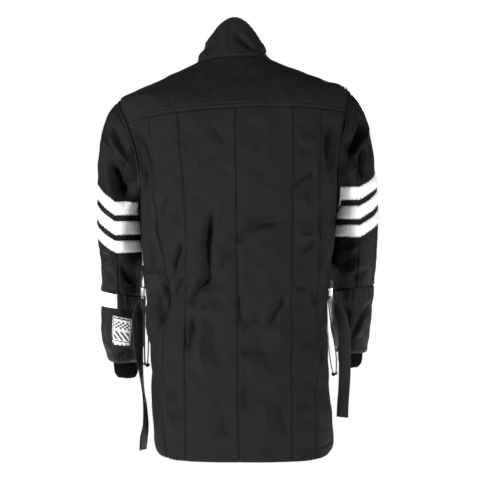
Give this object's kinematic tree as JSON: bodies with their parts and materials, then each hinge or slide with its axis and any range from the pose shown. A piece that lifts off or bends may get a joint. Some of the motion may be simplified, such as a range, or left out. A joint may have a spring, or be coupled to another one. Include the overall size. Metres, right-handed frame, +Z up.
{
  "type": "racing jacket",
  "caption": "Long-sleeved black racing jacket with white sleeve stripes, a stand collar, side strap adjusters and a zip front, filled out in its worn shape.",
  "frame": {"origin": "centre of the neck opening, level with the collar seam at the back, where the wearer's neck and shoulders hold the jacket up", "axes": "+Z up, the jacket's front faces -Y, and the wearer's left arm is on +X"},
  "size_m": [0.5545, 0.3481, 0.8404],
  "materials": {
    "black_twill": "matt woven twill",
    "black_sleeve_cloth": "smooth woven cloth with a faint sheen",
    "white_cloth": "matt",
    "black_rib_knit": "rib knit",
    "black_webbing": "woven webbing",
    "black_zip_tape": "woven tape",
    "bright_metal": "polished"
  },
  "bodies": {
    "jacket": {"back_centre_left": "black_twill", "back_centre_right": "black_twill", "back_mid_left": "black_twill", "back_mid_right": "black_twill", "back_side_left": "black_twill", "back_side_right": "black_twill", "back_yoke": "black_twill", "collar": "black_twill", "collar_tab": "black_twill", "cuff_left": "black_rib_knit", "cuff_right": "black_rib_knit", "forearm_band_left": "white_cloth", "forearm_left": "black_sleeve_cloth", "forearm_right": "black_sleeve_cloth", "front_left": "black_twill", "front_right": "black_twill", "ring_left_1": "bright_metal", "ring_left_2": "bright_metal", "ring_right_1": "bright_metal", "ring_right_2": "bright_metal", "ring_tab_left": "black_webbing", "ring_tab_right": "black_webbing", "sleeve_outer_left": "black_sleeve_cloth", "sleeve_outer_right": "black_sleeve_cloth", "sleeve_patch": "white_cloth", "sleeve_stripe_left_1": "white_cloth", "sleeve_stripe_left_2": "white_cloth", "sleeve_stripe_left_3": "white_cloth", "sleeve_stripe_right_1": "white_cloth", "sleeve_stripe_right_2": "white_cloth", "sleeve_stripe_right_3": "white_cloth", "sleeve_under_left": "black_sleeve_cloth", "sleeve_under_right": "black_sleeve_cloth", "strap_left": "black_webbing", "strap_right": "black_webbing", "zip_chain": "bright_metal", "zip_slider": "bright_metal", "zip_tape_left": "black_zip_tape", "zip_tape_right": "black_zip_tape"},
    "pull_tab": {"zip_pull": "bright_metal"}
  },
  "joints": [
    {"name": "pull_tab_hinge", "type": "hinge", "parent": "jacket", "child": "pull_tab", "pos_m": [0.0099, -0.08706, -0.09609], "axis": [-1, 0, 0], "range_deg": [0, 135]}
  ]
}
